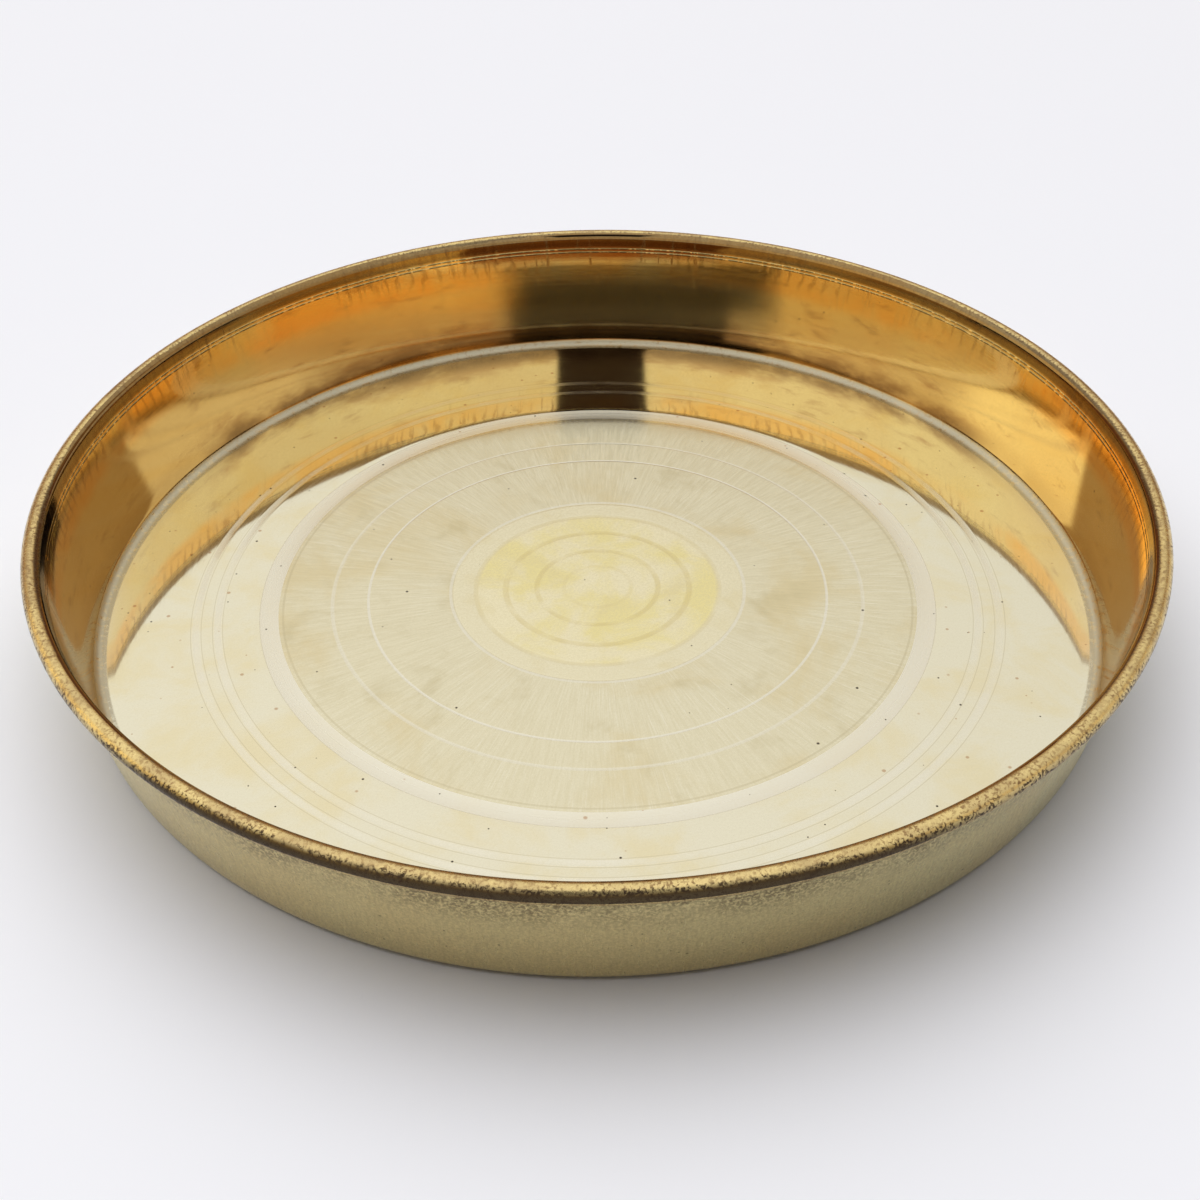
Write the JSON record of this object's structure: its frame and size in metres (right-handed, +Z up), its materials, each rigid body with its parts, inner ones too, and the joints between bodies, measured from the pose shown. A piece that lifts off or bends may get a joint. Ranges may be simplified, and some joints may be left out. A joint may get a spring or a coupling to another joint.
{
  "type": "thali plate",
  "caption": "Round spun-brass thali plate with a flat floor turned with rings, a low upright wall and a wired, rolled rim.",
  "frame": {"origin": "centre of the underside, on the surface that the plate stands on", "axes": "+Z up along the plate's axis of revolution; X and Y lie in the plane of the table, and any turn about Z is alike"},
  "size_m": [0.3, 0.3, 0.0395],
  "materials": {
    "brass": "polished in the floor's outer ring, brushed in the middle, satin outside, tarnished in specks along the rim",
    "steel_wire": "drawn, plain"
  },
  "bodies": {
    "root": {"plate": "brass", "rim_wire": "steel_wire"}
  },
  "joints": []
}
